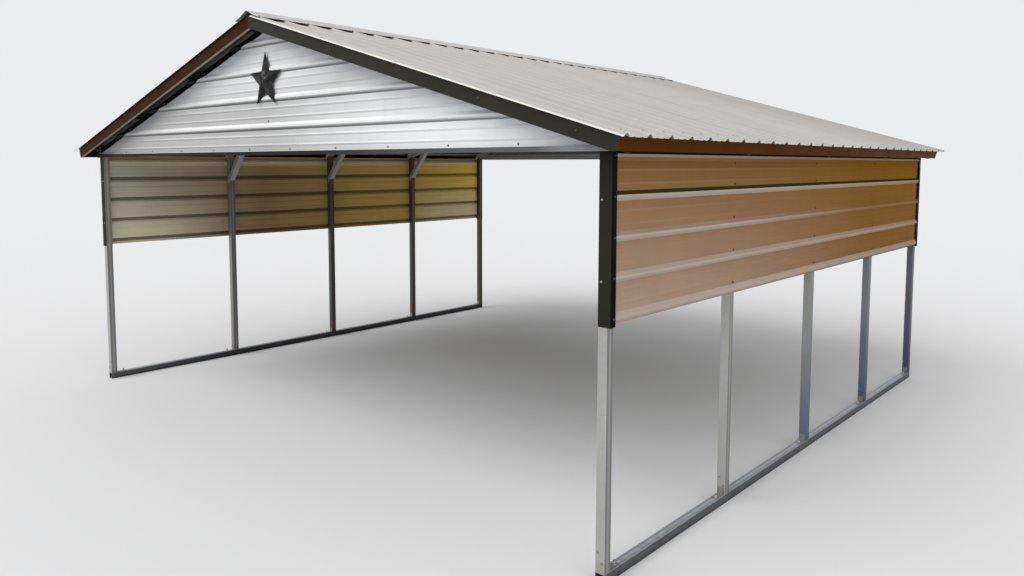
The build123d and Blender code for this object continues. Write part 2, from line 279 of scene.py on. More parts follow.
# Painted highlight on the right slope's outer edge
EDGE_HIGHLIGHT = (0.78, 0.78, 0.70)
# Painted light on the panels' inner face under the eave
UNDER_EAVE_LIGHT = (1.0, 0.80, 0.50)
# Painted highlight on the gable ribs
RIB_HIGHLIGHT = (0.95, 0.95, 0.95)
DEEP_SHADE = (0.002, 0.002, 0.002)
# Painted reflection at the right end of the gable base trim
TRIM_END_REFLECTION = (0.42, 0.45, 0.49)
RUBBED_IRON = (0.26, 0.255, 0.25)

# Small hardware: its colour, how metallic it is, and its roughness from smooth to rough

PAINT = (0.0, 0.30, 0.45)
RUBBER = (0.0, 0.7, 0.9)
HARDWARE = {
    "zinc_head": ((0.52, 0.52, 0.51), 0.85, 0.28, 0.42),
    "stud_zinc": ((0.30, 0.29, 0.27), 0.8, 0.35, 0.5),
    "weld": ((0.36, 0.36, 0.36), 0.7, 0.40, 0.60),
    "rubber_washer": ((0.035, 0.035, 0.035), *RUBBER),
    "grey_washer": ((0.24, 0.235, 0.225), *RUBBER),
    "roof_head": (None, *PAINT),  # takes the roof's colour
    "panel_head": ((0.05, 0.025, 0.014), *PAINT),
    "gable_head": ((0.22, 0.225, 0.23), *PAINT),
    "dark_head": ((0.03, 0.03, 0.03), *PAINT),
    "rake_head": ((0.055, 0.055, 0.055), *PAINT),
    "left_rake_head": ((0.05, 0.020, 0.012), *PAINT),
    "fascia_head": ((0.045, 0.020, 0.010), *PAINT),
    "foot_head": ((0.20, 0.20, 0.19), *PAINT),
}


# Node trees


def add_node(tree, kind, inputs=None, **settings):
    """Add a node, set its settings, and link or fill its inputs by name or number."""
    node = tree.nodes.new(kind)
    for name, value in settings.items():
        setattr(node, name, value)
    for key, value in (inputs or {}).items():
        socket = node.inputs[key] if isinstance(key, int) else pick_socket(node.inputs, key)
        if isinstance(value, bpy.types.NodeSocket):
            tree.links.new(value, socket)
        else:
            socket.default_value = value
    return node


def pick_socket(sockets, name):
    """The enabled socket of a name, where a node has one for each kind of data."""
    found = [s for s in sockets if s.name == name and s.enabled]
    if not found:
        raise KeyError(f"no socket {name}")
    return found[0]


def calculate(tree, operation, first, second=0.0, third=0.0):
    """Result of a Math node."""
    node = add_node(tree, "ShaderNodeMath", {0: first, 1: second, 2: third}, operation=operation)
    return node.outputs[0]


def remap(tree, value, from_low, from_high, to_low=0.0, to_high=1.0):
    """Value carried from one range to another and held there."""
    return add_node(tree, "ShaderNodeMapRange", {
        "Value": value,
        "From Min": from_low,
        "From Max": from_high,
        "To Min": to_low,
        "To Max": to_high,
    }, clamp=True).outputs["Result"]


def blend(tree, factor, first, second, mode="MIX"):
    """Colour between two colours."""
    node = add_node(tree, "ShaderNodeMix", {
        "Factor": factor,
        "A": first if isinstance(first, bpy.types.NodeSocket) else (*first, 1),
        "B": second if isinstance(second, bpy.types.NodeSocket) else (*second, 1),
    }, data_type="RGBA", blend_type=mode, clamp_factor=True)
    return pick_socket(node.outputs, "Result")


def seen_directly(tree):
    """1 for what the camera, a mirror or glass shows, 0 for light that spreads."""
    ray = add_node(tree, "ShaderNodeLightPath")
    seen = calculate(tree, "MAXIMUM", ray.outputs["Is Camera Ray"], ray.outputs["Is Glossy Ray"])
    return calculate(tree, "MAXIMUM", seen, ray.outputs["Is Transmission Ray"])


class Surface:
    """A material under way: its tree, its shader and the coordinates it reads."""

    def __init__(self, name, metallic, specular=0.5):
        self.material = bpy.data.materials.new(name)
        self.material.use_nodes = True
        self.tree = self.material.node_tree
        self.shader = self.tree.nodes["Principled BSDF"]
        self.shader.inputs["Metallic"].default_value = metallic
        self.shader.inputs["Specular IOR Level"].default_value = specular
        source = add_node(self.tree, "ShaderNodeTexCoord")
        self.place = source.outputs["Object"]
        split = add_node(self.tree, "ShaderNodeSeparateXYZ", {0: self.place})
        self.x, self.y, self.z = split.outputs
        split = add_node(self.tree, "ShaderNodeSeparateXYZ", {0: source.outputs["Normal"]})
        self.facing_x, self.facing_y, self.facing_z = split.outputs

    def colour(self, socket):
        """Link the base colour."""
        self.tree.links.new(socket, self.shader.inputs["Base Color"])

    def roughness(self, pattern, smooth, rough):
        """Link the roughness, from smooth to rough as the pattern rises."""
        self.tree.links.new(self.ramp(pattern, 0.3, 0.7, smooth, rough), self.shader.inputs["Roughness"])

    def bump(self, pattern, distance):
        """Link a bump of a height."""
        inputs = {"Height": pattern, "Distance": distance, "Strength": 1.0}
        node = add_node(self.tree, "ShaderNodeBump", inputs)
        self.tree.links.new(node.outputs[0], self.shader.inputs["Normal"])

    def noise(self, stretch, scale, detail=3.0, roughness=0.55):
        """Noise on object coordinates, stretched by a factor along each axis."""
        mapped = add_node(self.tree, "ShaderNodeMapping", {"Vector": self.place, "Scale": stretch})
        inputs = {"Vector": mapped.outputs[0], "Scale": scale, "Detail": detail, "Roughness": roughness}
        return add_node(self.tree, "ShaderNodeTexNoise", inputs).outputs[0]

    def ramp(self, value, low, high, start=0.0, end=1.0):
        """Start where the value is low, end where it is high."""
        return remap(self.tree, value, low, high, start, end)

    def times(self, first, second):
        """Product of two values."""
        return calculate(self.tree, "MULTIPLY", first, second)

    def less(self, first, second):
        """First value less the second."""
        return calculate(self.tree, "SUBTRACT", first, second)

    def most(self, first, second):
        """Larger of two values."""
        return calculate(self.tree, "MAXIMUM", first, second)

    def unsigned(self, value):
        """Value without its sign."""
        return calculate(self.tree, "ABSOLUTE", value)

    def past_line(self, place, start, step):
        """How far a place is past the nearest of the lines that begin at a start, a step apart."""
        shifted = calculate(self.tree, "ADD", place, step / 2 - start)
        return self.less(calculate(self.tree, "FLOORED_MODULO", shifted, step), step / 2)

    def outside(self, place, facing):
        """1 where a surface faces away from the middle of the carport."""
        return calculate(self.tree, "GREATER_THAN", self.times(place, facing), 0.0)

    def sideways(self):
        """1 where a surface faces one of the carport's sides."""
        return self.ramp(self.unsigned(self.facing_x), 0.85, 0.95)

    def on_left(self):
        """1 on the carport's left half."""
        return self.ramp(self.x, -0.1, 0.1, 1.0, 0.0)

    def mix(self, amount, first, second):
        """First colour, covered by the second as far as the amount says."""
        return blend(self.tree, amount, first, second)

    def flat(self, colour):
        """A colour to build on."""
        return self.mix(0.0, colour, colour)

    def tinted(self, colour, amount, tint):
        """Colour multiplied by a tint as far as the amount says."""
        return blend(self.tree, amount, colour, tint, "MULTIPLY")

    def shaded(self, colour, amount, shade):
        """Colour made darker, or lighter by a shade over 1, as far as the amount says."""
        return self.tinted(colour, amount, (shade, shade, shade))

    def dust(self, colour, amount, patches, dust_colour=DUST):
        """Colour with dust on what faces up."""
        lying = self.ramp(self.facing_z, 0.25, 0.85, 0.0, amount)
        broken = self.times(lying, self.ramp(patches, 0.3, 0.6, 0.55, 1.0))
        return self.mix(broken, colour, dust_colour)


def tone(colour, factor):
    """A colour made darker or lighter."""
    return tuple(min(1.0, channel * factor) for channel in colour)


def galvanised(name, colour, grain, dirt_height, seam=None, painted_shade=None):
    """Zinc-coated steel with spangle, roll marks along its grain, a weld seam and splashed dirt.

    The faces towards the carport's sides are darkened with painted shade, and the weld seam's pale stripe is
    painted bright as a highlight. The seam is "trusses" for tubes that stand in the planes of the trusses, or
    "rails". The last argument is a function that darkens the colour with painted shade where the piece is
    sheltered.
    """
    s = Surface(name, metallic=0.30, specular=0.30)
    spangle = add_node(s.tree, "ShaderNodeTexVoronoi", {"Vector": s.place, "Scale": 95.0, "Randomness": 1.0})
    flake = add_node(s.tree, "ShaderNodeSeparateColor", {0: spangle.outputs["Color"]}).outputs[0]
    marks = s.noise(grain, 14.0, detail=4.0)
    clouds = s.noise(EVEN, 2.6)
    base = s.mix(s.ramp(flake, 0.0, 1.0, 0.0, 0.45), tone(colour, 0.90), tone(colour, 1.12))
    base = s.mix(s.ramp(clouds, 0.35, 0.70, 0.0, 0.55), base, tone(colour, 0.78))
    base = s.mix(s.ramp(marks, 0.52, 0.72, 0.0, 0.40), base, tone(colour, 1.28))
    if seam:
        # The weld seam's pale stripe, painted bright as a highlight.
        base = s.mix(seam_highlight(s, seam), base, tone(colour, 1.80))
    splashes = s.noise((1, 1, 0.6), 26.0, detail=5.0)
    low = s.ramp(s.z, 0.0, dirt_height, 1.0, 0.0)
    base = s.mix(s.times(low, s.ramp(splashes, 0.42, 0.62, 0.10, 0.75)), base, DRIED_MUD)
    # Painted shade on the faces towards the carport's sides.
    base = s.shaded(base, s.sideways(), 0.56)
    if painted_shade:
        base = painted_shade(s, base)
    s.colour(base)
    s.roughness(calculate(s.tree, "MULTIPLY_ADD", flake, 0.25, s.times(marks, 0.75)), 0.32, 0.52)
    s.bump(calculate(s.tree, "ADD", marks, s.times(flake, 0.3)), 0.0006)
    return s.material


def painted_shade_posts(s, base):
    """Posts darkened with painted shade towards the back, brown on the left and blue on the right, bluest low
    down on the right.
    """
    left = s.on_left()
    right = s.less(1.0, left)
    middle = truss_y[len(truss_y) // 2]
    base = s.tinted(base, s.times(left, s.ramp(s.y, truss_y[0] + 0.3, middle)), (0.26, 0.19, 0.14))
    base = s.tinted(base, s.times(right, s.ramp(s.y, middle - 0.9, truss_y[-1] - 0.4)), (0.36, 0.42, 0.52))
    low_right = s.times(right, s.ramp(s.y, middle - 0.6, middle - 0.2))
    return s.tinted(base, s.times(low_right, s.ramp(s.z, 1.10, 0.20)), (0.42, 0.58, 0.88))


def painted_shade_rails(s, base):
    """Rails darkened with painted shade on their sides, most of all at the ground, and towards the back on
    the left.
    """
    base = s.shaded(base, s.sideways(), 0.52)
    base = s.shaded(base, s.times(s.sideways(), s.ramp(s.z, 0.030, 0.004)), 0.45)
    return s.shaded(base, s.times(s.on_left(), s.ramp(s.y, -half_length, truss_y[1])), 0.28)


def painted_shade_tails(s, base):
    """Rafter tails darkened with painted shade behind the fascia."""
    return s.shaded(base, s.ramp(s.unsigned(s.x), half_width + 0.010, half_width + 0.030), 0.08)


def painted_shade_ends(s, base):
    """Ends of the hat channels darkened with painted shade beyond the gables."""
    return s.shaded(base, s.ramp(s.unsigned(s.y), half_length - 0.010, half_length + 0.010), 0.05)


def seam_highlight(s, seam):
    """How much of the weld seam's pale stripe shows, in the middle of a tube's face, painted bright as a
    highlight.
    """
    if seam == "rails":
        offset = s.less(s.unsigned(s.x), post_x)
        facing = s.facing_z
    else:
        offset = s.past_line(s.y, truss_y[0], truss_step)
        facing = s.less(1.0, s.unsigned(s.facing_y))
    near = s.ramp(s.unsigned(offset), 0.0025, 0.0130, 1.0, 0.0)
    return s.times(near, s.ramp(facing, 0.5, 0.6, 0.0, 0.6))


def weathered(s, base, streaks, dust, strength=1.0):
    """Finish a sheet's coating: soft clouds, faint streaks down its fall, dust and orange peel."""
    clouds = s.noise(EVEN, 1.7)
    runs = s.noise(streaks, 9.0, detail=5.0, roughness=0.6)
    peel = s.noise(EVEN, 420.0, detail=1.0)
    base = s.shaded(base, s.ramp(clouds, 0.35, 0.70, 0.0, 0.30 * strength), 0.70)
    base = s.shaded(base, s.ramp(runs, 0.50, 0.75, 0.0, 0.50 * strength), 0.70)
    base = s.shaded(base, s.ramp(runs, 0.46, 0.28, 0.0, 0.50 * strength), 1.14)
    s.colour(s.dust(base, dust, clouds))
    s.roughness(runs, 0.34, 0.50)
    s.bump(peel, 0.00012)
    return s.material


def roof_coat(look, name, backer, ribs=True):
    """Pale roof coating on a backer, with a painted highlight on the crowns and painted shade on the flanks.

    Its back third is darker with painted shade. The sheets' outer edges carry a painted highlight on the
    right slope and a reddish painted light on the left. Underneath, the sheets are near black with painted
    shade over the gables, with painted light near the soffit's outer edge, and pale at the eaves.
    """
    s = Surface(name, metallic=0.0, specular=0.30)
    top = s.flat(look.roof)
    if ribs:
        offset = s.unsigned(s.past_line(s.y, -last_rib_y, rib_pitch))
        # Painted highlight: the rib crowns a little lighter.
        top = s.mix(s.ramp(offset, 0.0080, 0.0095, 1.0, 0.0), top, tone(look.roof, 1.10))
    # Painted shade: the rib flanks duller, and the back third darker.
    top = s.shaded(top, s.ramp(s.facing_y, 0.30, 0.55), 0.70)
    top = s.shaded(top, s.ramp(s.facing_y, -0.30, -0.55), 0.88)
    top = s.shaded(top, s.ramp(s.y, 0.5, 2.4), 0.82)
    out = s.unsigned(s.y)
    # Painted shade: the underside near black over the gables, with painted light near the soffit's outer
    # edge.
    under = s.shaded(s.flat(backer), s.ramp(out, half_length - 0.01, half_length + 0.01), 0.12)
    under = s.mix(s.ramp(out, half_length + 0.003, half_length + 0.016), under, SOFFIT_EDGE_LIGHT)
    eave_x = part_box("roof_sheets_right")[1].x
    at_eave = s.ramp(s.unsigned(s.x), eave_x - 0.060, eave_x - 0.045)
    under = s.mix(at_eave, under, tone(look.roof, 0.80))
    base = s.mix(s.ramp(s.facing_z, -0.05, 0.05), under, top)
    right = s.ramp(s.x, -0.01, 0.01)
    left_edge = s.ramp(out, last_rib_y + 0.0085, last_rib_y + 0.0105)
    right_edge = s.ramp(out, last_rib_y + 0.020, last_rib_y + 0.022)
    # Painted light: a reddish edge on the left slope, and a painted highlight along the edge on the right.
    base = s.mix(left_edge, base, s.mix(right, LEFT_EDGE_LIGHT, base))
    base = s.mix(s.times(right, right_edge), base, EDGE_HIGHLIGHT)
    return weathered(s, base, (0.10, 1.6, 0.10), look.dust * 0.3, 0.6)


def panel_coat(look):
    """Tan coating, paler towards the ground, with pale crowns and flanks under them; these pale tones are
    painted reflection.

    The flanks over the crowns carry a painted reflection, olive on the upper ribs and pale on the lower.
    Inside, the ribs are grooves darkened with painted shade, the tones along the carport are painted light,
    and the top is pale with painted light under the eave.
    """
    s = Surface("panel_coat", metallic=0.0, specular=0.0)
    height = s.ramp(s.z, panel_start, panel_top_rib)
    along = s.ramp(s.y, -half_length, half_length)
    reach = s.unsigned(s.past_line(s.z, panel_start, rib_pitch))
    crown = s.ramp(reach, 0.0075, 0.0090, 1.0, 0.0)
    base = panel_outside(s, look, height, along, reach, crown)
    inner = panel_inside(s, look, height, along, crown)
    base = s.mix(s.outside(s.x, s.facing_x), inner, base)
    return weathered(s, base, (1, 0.9, 0.25), 0.0, 0.35)


def panel_outside(s, look, height, along, reach, crown):
    """Outer face of a side panel."""
    # Painted reflection: paler towards the foot.
    near = s.mix(height, look.panel_low, look.panel)
    far = s.mix(height, look.panel_far_low, look.panel_far)
    pan = s.mix(s.ramp(along, 0.0, 0.70), near, far)
    third_rib = s.times(s.ramp(height, 0.36, 0.44), s.ramp(height, 0.56, 0.64, 1.0, 0.0))
    fading = s.times(third_rib, s.ramp(along, 0.25, 0.65, 0.0, 0.75))
    lit = s.times(s.ramp(along, 0.2, 1.0, 1.0, 0.55), s.less(1.0, fading))
    # Painted reflection on the flanks over the crowns: pale on the lower ribs, olive on the upper.
    upper_flank = s.mix(s.times(s.ramp(height, 0.10, 0.50, 0.85, 0.30), lit), pan, look.panel_pale_reflection)
    upper_flank = s.mix(s.ramp(height, 0.55, 0.72), upper_flank, look.panel_olive_reflection)
    base = s.mix(s.ramp(s.facing_z, 0.40, 0.55), pan, upper_flank)
    # Painted reflection on the crowns, under them and on the beads' lower flanks.
    under_crown = s.times(s.ramp(s.facing_z, -0.40, -0.55), s.ramp(reach, 0.0250, 0.0265, 1.0, 0.0))
    under_crown = s.times(under_crown, s.ramp(height, 0.88, 0.93, 1.0, 0.0))
    bead = s.times(s.ramp(s.facing_z, -0.15, -0.25, 0.0, 0.13), s.ramp(along, 0.1, 0.7, 1.0, 0.0))
    pale_reflection = s.most(s.most(crown, under_crown), bead)
    return s.mix(s.times(pale_reflection, lit), base, look.panel_pale_reflection)


def panel_inside(s, look, height, along, crown):
    """Inner face of a side panel."""
    # Painted light: tones along the carport and at the foot of both ends.
    inner = s.mix(s.ramp(along, 0.05, 0.33), look.inner, look.inner_middle)
    inner = s.mix(s.ramp(along, 0.33, 1.0), inner, look.inner_far)
    ends = s.most(s.ramp(along, 0.25, 0.10), s.ramp(along, 0.72, 0.85))
    low_ends = s.times(ends, s.ramp(height, 0.65, 0.10, 0.0, 0.8))
    inner = s.mix(low_ends, inner, look.inner_low)
    # Painted light under the eave.
    at_top = s.ramp(s.z, panel_top_rib - 0.100, panel_top_rib - 0.020, 0.0, 0.8)
    inner = s.mix(at_top, inner, UNDER_EAVE_LIGHT)
    # Painted shade in the grooves.
    groove_shade = s.most(s.ramp(s.facing_z, -0.30, -0.50), crown)
    return s.shaded(inner, groove_shade, 0.30)


def gable_coat(look):
    """White coating, lighter with painted light towards the right and the ridge, with a painted highlight on
    the ribs.

    It is darkened with painted shade under the ribs, bluish painted shade near the sheets' upper edge, and
    deep painted shade along that edge, which lies in the roof's shade.
    """
    s = Surface("gable_coat", metallic=0.0, specular=0.04)
    # Painted light towards the right and the ridge.
    right = s.ramp(s.x, 0.0, 0.68 * half_width)
    high = s.ramp(s.z, 2.86, 3.10, 0.0, 0.6)
    front = s.mix(s.most(right, high), look.gable, look.gable_lit)
    front = s.shaded(front, s.ramp(s.z, gable_start + 0.14, gable_start + 0.04), 0.90)
    offset = s.past_line(s.z, gable_start, rib_pitch)
    # Painted shade under the ribs and on the beads' lower flanks.
    under_rib = s.ramp(s.facing_z, -0.35, -0.50)
    rib_root = s.times(s.ramp(s.times(offset, -1.0), 0.014, 0.020), under_rib)
    front = s.shaded(front, under_rib, 0.85)
    front = s.shaded(front, rib_root, 0.45)
    front = s.shaded(front, s.ramp(s.facing_z, -0.18, -0.26), 0.85)
    # Painted highlight on the crowns and the upward flanks.
    crown = s.ramp(s.unsigned(offset), 0.0075, 0.0095, 0.5, 0.0)
    front = s.mix(s.most(crown, s.ramp(s.facing_z, 0.20, 0.50, 0.0, 0.85)), front, RIB_HIGHLIGHT)
    run = s.less(half_width, s.unsigned(s.x))
    rafter = calculate(s.tree, "MULTIPLY_ADD", run, roof_slope, post_top)
    over_rafter = s.times(s.less(s.z, rafter), cos(pitch))
    # Bluish painted shade near the sheets' upper edge, and deep painted shade along it.
    front = s.tinted(front, s.ramp(over_rafter, -0.12, 0.03, 0.0, 0.5), (0.86, 0.89, 1.0))
    front = s.mix(s.ramp(over_rafter, 0.010, 0.013), front, DEEP_SHADE)
    base = s.mix(s.outside(s.y, s.facing_y), look.gable_back, front)
    return weathered(s, base, (0.9, 1, 0.25), look.dust * 0.1, 0.30)


def coated_trim(name, colour, look, specular, side_shade=1.0, inner_shade=1.0, lip=None, pale_end=0.0):
    """Painted folded trim, faintly scuffed, with dust on what faces up.

    The side shade is painted shade on what faces the carport's sides, and the inner shade is painted shade on
    what faces its middle. The lip colour, on what faces down, is a painted reflection, and the pale end is
    how far a painted reflection pales the trim towards its right end.
    """
    s = Surface(name, metallic=0.0, specular=specular)
    clouds = s.noise(EVEN, 3.1, detail=4.0)
    scuffs = s.noise((1.0, 1.0, 6.0), 38.0, detail=6.0, roughness=0.7)
    base = s.mix(s.ramp(clouds, 0.35, 0.68, 0.0, 0.55), tone(colour, 1.20), tone(colour, 0.78))
    base = s.mix(s.ramp(scuffs, 0.66, 0.74, 0.0, 0.22), base, tone(colour, 3.0))
    base = s.shaded(base, s.sideways(), side_shade)
    base = s.shaded(base, s.less(1.0, s.outside(s.x, s.facing_x)), inner_shade)
    # Painted reflection: the trim pales towards its right end.
    if pale_end:
        near = s.ramp(s.x, 0.2 * half_width, 0.85 * half_width, 0.0, 0.35 * pale_end)
        far = s.ramp(s.x, 0.85 * half_width, 0.92 * half_width, 0.0, 0.65 * pale_end)
        base = s.mix(calculate(s.tree, "ADD", near, far), base, TRIM_END_REFLECTION)
    base = s.dust(base, look.dust * 0.3, clouds, DARK_DUST)
    # Painted reflection on the lip, which faces down.
    if lip:
        base = s.mix(s.ramp(s.facing_z, -0.70, -0.80), base, lip)
    s.colour(base)
    s.roughness(clouds, 0.34, 0.50)
    s.bump(scuffs, 0.00025)
    return s.material


def cast_star(name, colour):
    """Dark cast metal, pitted, and rubbed pale where it stands proud."""
    s = Surface(name, metallic=0.2, specular=0.15)
    low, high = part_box("gable_star")
    pits = s.noise(EVEN, 95.0, detail=6.0, roughness=0.7)
    patches = s.noise(EVEN, 24.0, detail=4.0)
    worn = s.ramp(s.ramp(s.y, high.y, low.y), 0.0, 0.8, 0.05, 0.45)
    base = s.mix(s.ramp(pits, 0.35, 0.65), tone(colour, 0.6), tone(colour, 1.6))
    base = s.mix(s.times(s.ramp(patches, 0.50, 0.70), worn), base, RUBBED_IRON)
    s.colour(base)
    s.roughness(pits, 0.38, 0.60)
    s.bump(pits, 0.0012)
    return s.material


def plain_metal(name, colour, metallic, smooth, rough):
    """Small hardware: plated or painted, faintly uneven."""
    s = Surface(name, metallic=metallic)
    patches = s.noise(EVEN, 160.0)
    s.colour(s.mix(s.ramp(patches, 0.3, 0.7), tone(colour, 0.75), tone(colour, 1.20)))
    s.roughness(patches, smooth, rough)
    s.bump(patches, 0.0003)
    return s.material


# Geometry trees


def new_tree(name, inputs):
    """A geometry tree with named inputs, and the sockets they come from."""
    tree = bpy.data.node_groups.new(name, "GeometryNodeTree")
    tree.interface.new_socket("Geometry", in_out="INPUT", socket_type="NodeSocketGeometry")
    for label, (kind, default) in inputs.items():
        socket = tree.interface.new_socket(label, in_out="INPUT", socket_type=kind)
        if default is not None:
            socket.default_value = default
    tree.interface.new_socket("Geometry", in_out="OUTPUT", socket_type="NodeSocketGeometry")
    entry = tree.nodes.new("NodeGroupInput")
    return tree, {socket.name: socket for socket in entry.outputs if socket.name}


def end_tree(tree, geometry):
    """Link the tree's result."""
    add_node(tree, "NodeGroupOutput", {0: geometry})


def named_vector(tree, name):
    """A vector attribute of the points."""
    node = add_node(tree, "GeometryNodeInputNamedAttribute", {"Name": name}, data_type="FLOAT_VECTOR")
    return pick_socket(node.outputs, "Attribute")


def share_of(tree, value, share):
    """A share of a value."""
    return calculate(tree, "MULTIPLY", value, share)


def cone(tree, corners, bottom, top, height):
    """A round or six-sided piece that stands on its foot."""
    return add_node(tree, "GeometryNodeMeshCone", {
        "Vertices": corners,
        "Radius Bottom": bottom,
        "Radius Top": top,
        "Depth": height,
    }).outputs[0]


def marked(tree, geometry, name):
    """Geometry whose faces carry a mark, to give them a second material later."""
    inputs = {"Geometry": geometry, "Name": name, "Value": True}
    node = add_node(tree, "GeometryNodeStoreNamedAttribute", inputs, data_type="BOOLEAN", domain="FACE")
    return node.outputs[0]


def lifted(tree, geometry, height):
    """Geometry moved up by a height."""
    offset = add_node(tree, "ShaderNodeCombineXYZ", {"Z": height}).outputs[0]
    return add_node(tree, "GeometryNodeTransform", {"Geometry": geometry, "Translation": offset}).outputs[0]


def joined(tree, *pieces):
    """Pieces of geometry as one."""
    node = tree.nodes.new("GeometryNodeJoinGeometry")
    for piece in pieces:
        tree.links.new(piece, node.inputs[0])
    return node.outputs[0]


def placed_on_rows(tree, rows, count, shape, seed):
    """Copies of a shape along each row, facing as the row says, spun at random and realized."""
    lines = add_node(tree, "GeometryNodeMeshToCurve", {"Mesh": rows}).outputs[0]
    points = add_node(tree, "GeometryNodeResampleCurve", {"Curve": lines, "Count": count}).outputs[0]
    facing = add_node(
        tree, "FunctionNodeAlignRotationToVector", {"Vector": named_vector(tree, "facing")}, axis="Z"
    ).outputs[0]
    chance = add_node(tree, "FunctionNodeRandomValue", {}, data_type="FLOAT")
    pick_socket(chance.inputs, "Max").default_value = pi
    tree.links.new(seed, pick_socket(chance.inputs, "Seed"))
    spin = add_node(tree, "FunctionNodeAxisAngleToRotation", {
        "Axis": (0, 0, 1),
        "Angle": pick_socket(chance.outputs, "Value"),
    }).outputs[0]
    turned = add_node(
        tree, "FunctionNodeRotateRotation", {"Rotation": facing, "Rotate By": spin}, rotation_space="LOCAL"
    ).outputs[0]
    copies = add_node(
        tree, "GeometryNodeInstanceOnPoints", {"Points": points, "Instance": shape, "Rotation": turned}
    ).outputs[0]
    return add_node(tree, "GeometryNodeRealizeInstances", {"Geometry": copies}).outputs[0]


def two_materials(tree, geometry, main, other, mark):
    """Geometry with one material, and another on the faces that carry a mark."""
    painted = add_node(tree, "GeometryNodeSetMaterial", {"Geometry": geometry, "Material": main}).outputs[0]
    node = add_node(tree, "GeometryNodeInputNamedAttribute", {"Name": mark}, data_type="BOOLEAN")
    inputs = {"Geometry": painted, "Selection": pick_socket(node.outputs, "Attribute"), "Material": other}
    return add_node(tree, "GeometryNodeSetMaterial", inputs).outputs[0]


HEX_RADIUS = 1 / sqrt(3)  # corner radius of a hexagon one wide across its flats


def screw_tree():
    """Rows of washer-head screws: a sealing washer, a flange and a hex head."""
    tree, given = new_tree("screw_rows", {
        "Screws": ("NodeSocketInt", 2),
        "Head Across": ("NodeSocketFloat", 0.008),
        "Head Height": ("NodeSocketFloat", 0.005),
        "Washer Across": ("NodeSocketFloat", 0.015),
        "Washer Height": ("NodeSocketFloat", 0.002),
        "Seed": ("NodeSocketInt", 0),
        "Head Material": ("NodeSocketMaterial", None),
        "Washer Material": ("NodeSocketMaterial", None),
    })
    radius = share_of(tree, given["Washer Across"], 0.5)
    washer = cone(tree, 14, radius, share_of(tree, radius, 0.86), given["Washer Height"])
    flange_height = share_of(tree, given["Head Height"], 0.25)
    flange_foot, flange_edge = share_of(tree, radius, 0.80), share_of(tree, radius, 0.66)
    flange = cone(tree, 14, flange_foot, flange_edge, flange_height)
    flange = lifted(tree, flange, given["Washer Height"])
    corner = share_of(tree, given["Head Across"], HEX_RADIUS)
    head_height = calculate(tree, "SUBTRACT", given["Head Height"], flange_height)
    head = cone(tree, 6, corner, share_of(tree, corner, 0.90), head_height)
    head = lifted(tree, head, calculate(tree, "ADD", given["Washer Height"], flange_height))
    shape = joined(tree, marked(tree, washer, "washer"), flange, head)
    placed = placed_on_rows(tree, given["Geometry"], given["Screws"], shape, given["Seed"])
    end_tree(tree, two_materials(tree, placed, given["Head Material"], given["Washer Material"], "washer"))
    return tree


def anchor_tree():
    """Anchors in rows: a round washer, a hex nut and the stud that stands through it."""
    tree, given = new_tree("anchor_rows", {
        "Anchors": ("NodeSocketInt", 2),
        "Nut Across": ("NodeSocketFloat", 0.019),
        "Nut Height": ("NodeSocketFloat", 0.01),
        "Stud Across": ("NodeSocketFloat", 0.012),
        "Stud Height": ("NodeSocketFloat", 0.026),
        "Seed": ("NodeSocketInt", 0),
        "Nut Material": ("NodeSocketMaterial", None),
        "Stud Material": ("NodeSocketMaterial", None),
    })
    washer_height = 0.0025
    corner = share_of(tree, given["Nut Across"], HEX_RADIUS)
    washer = cone(tree, 28, share_of(tree, corner, 1.35), share_of(tree, corner, 1.32), washer_height)
    nut = cone(tree, 6, corner, corner, given["Nut Height"])
    nut_top = calculate(tree, "ADD", given["Nut Height"], washer_height)
    crown_height = share_of(tree, given["Nut Height"], 0.12)
    crown = cone(tree, 24, share_of(tree, corner, 0.84), share_of(tree, corner, 0.76), crown_height)
    crest = share_of(tree, given["Stud Across"], 0.5)
    thread_step = 0.00175
    thread = cone(tree, 20, share_of(tree, crest, 0.86), crest, thread_step / 2)
    root = cone(tree, 20, crest, share_of(tree, crest, 0.86), thread_step / 2)
    root = lifted(tree, root, thread_step / 2)
    turn = joined(tree, thread, root)
    turns = calculate(tree, "DIVIDE", calculate(tree, "SUBTRACT", given["Stud Height"], nut_top), thread_step)
    heights = add_node(tree, "GeometryNodeMeshLine", {
        "Count": turns, "Offset": (0, 0, thread_step),
    }, mode="OFFSET").outputs[0]
    stack = add_node(tree, "GeometryNodeInstanceOnPoints", {"Points": heights, "Instance": turn}).outputs[0]
    stud = add_node(tree, "GeometryNodeRealizeInstances", {"Geometry": stack}).outputs[0]
    stud = marked(tree, lifted(tree, stud, nut_top), "stud")
    shape = joined(tree, washer, lifted(tree, nut, washer_height), lifted(tree, crown, nut_top), stud)
    placed = placed_on_rows(tree, given["Geometry"], given["Anchors"], shape, given["Seed"])
    end_tree(tree, two_materials(tree, placed, given["Nut Material"], given["Stud Material"], "stud"))
    return tree


